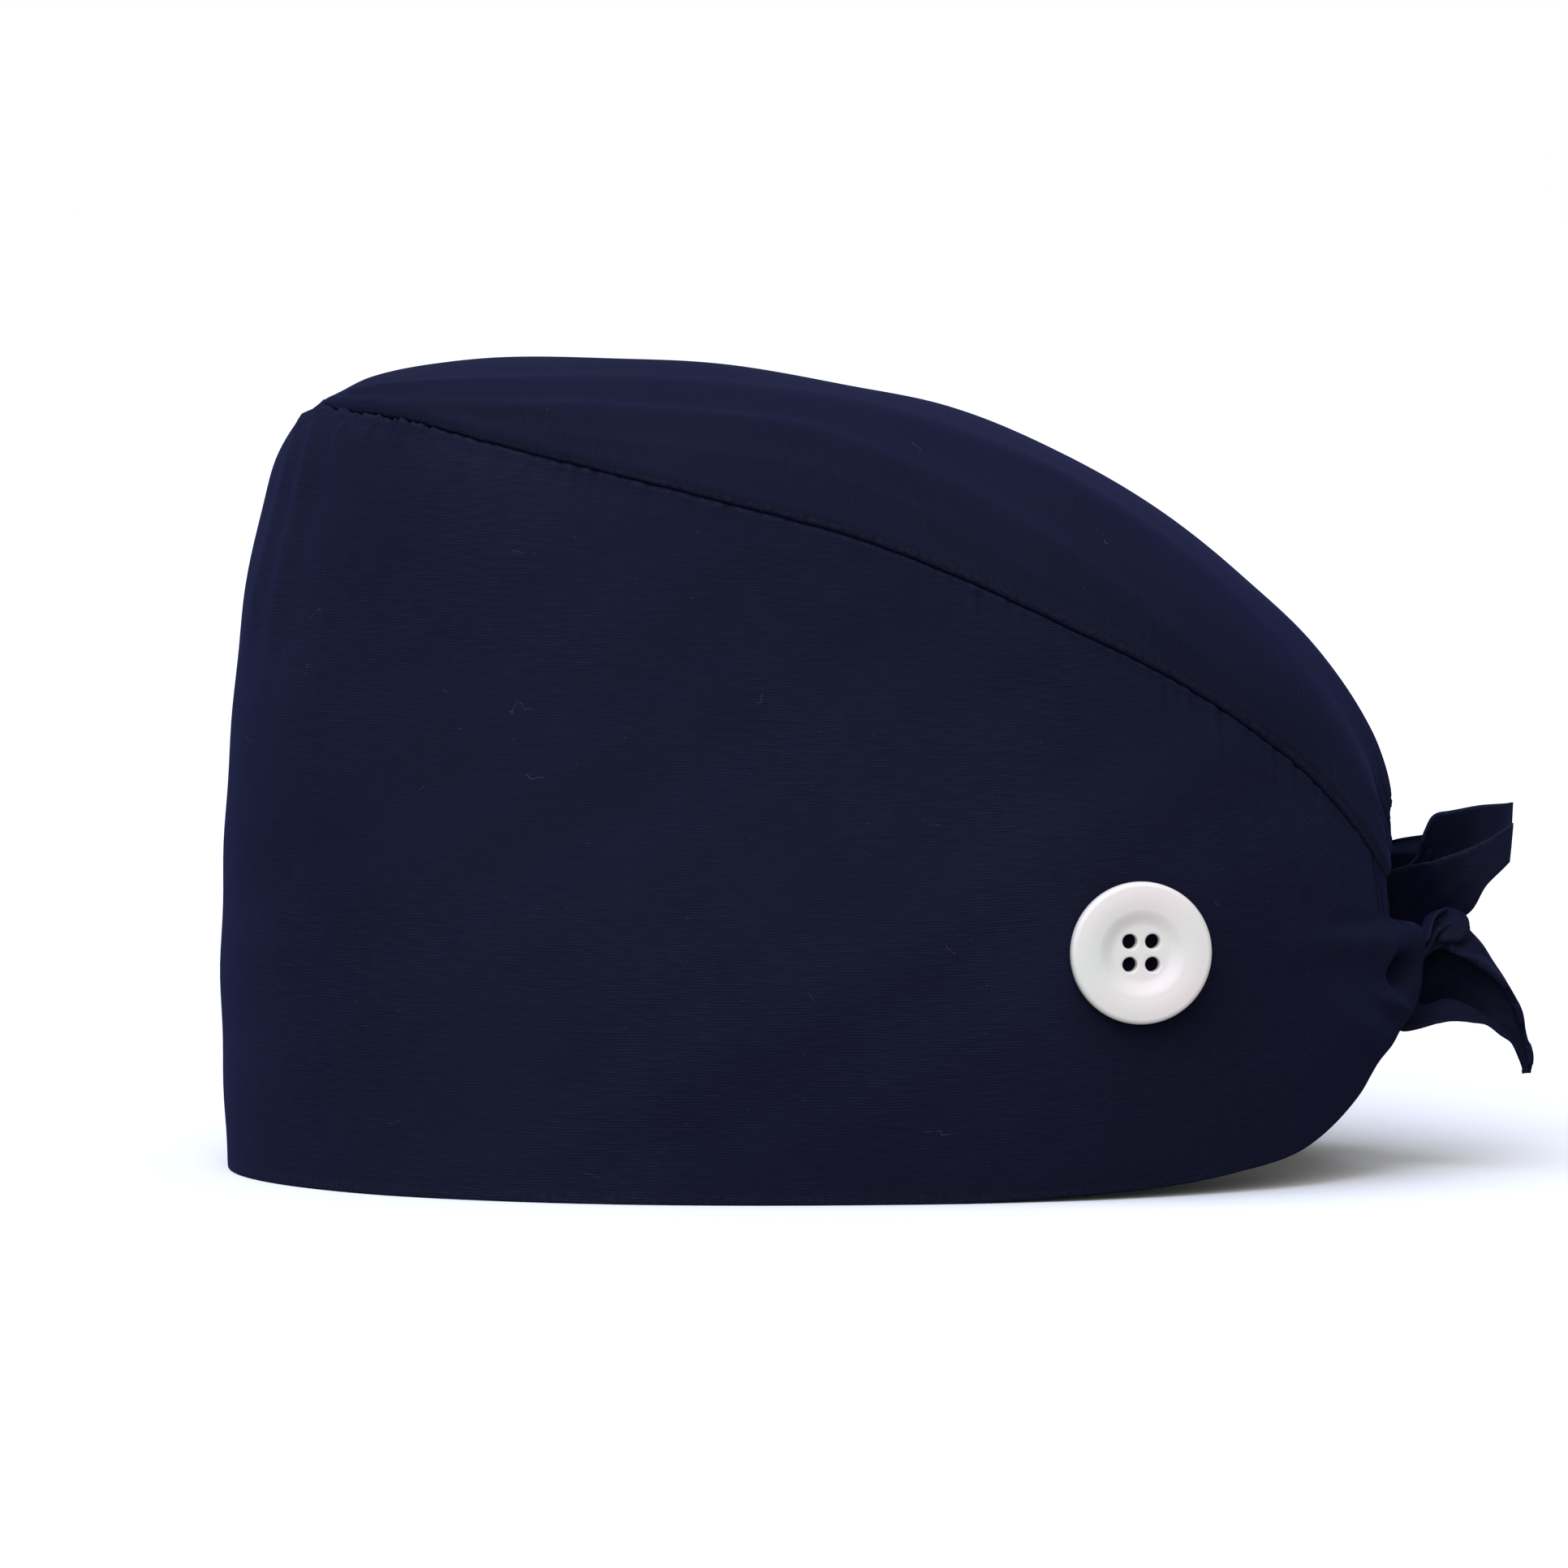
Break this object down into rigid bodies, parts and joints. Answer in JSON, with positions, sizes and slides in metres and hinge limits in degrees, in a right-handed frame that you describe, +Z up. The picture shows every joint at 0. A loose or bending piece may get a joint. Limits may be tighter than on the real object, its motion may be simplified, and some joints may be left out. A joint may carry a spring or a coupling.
{
  "type": "scrub cap",
  "caption": "Soft cloth cap with a tall wrap-around side band, a long oval crown panel, cloth ties knotted at the back and a round button on each side for a mask's ear loops.",
  "frame": {"origin": "bottom centre of the cap's bounding box, in the plane of the rim that it stands on", "axes": "+Z up from the rim to the crown, -Y out of the forehead, +Y towards the knot at the back, +X towards the wearer's left"},
  "size_m": [0.1676, 0.2656, 0.1636],
  "materials": {
    "cap_cloth": "matt navy poplin with a fine crosswise rib",
    "tie_cloth": "matt navy poplin, folded and sewn into flat ties",
    "button_resin": "smooth off-white resin",
    "thread": "wound sewing thread"
  },
  "bodies": {
    "root": {"side_band": "cap_cloth", "crown_panel": "cap_cloth", "tie_left": "tie_cloth", "tie_right": "tie_cloth", "tie_knot": "tie_cloth", "tail_upper": "tie_cloth", "tail_lower": "tie_cloth", "button_left": "button_resin", "button_right": "button_resin", "button_stem_left": "thread", "button_stem_right": "thread"}
  },
  "joints": []
}
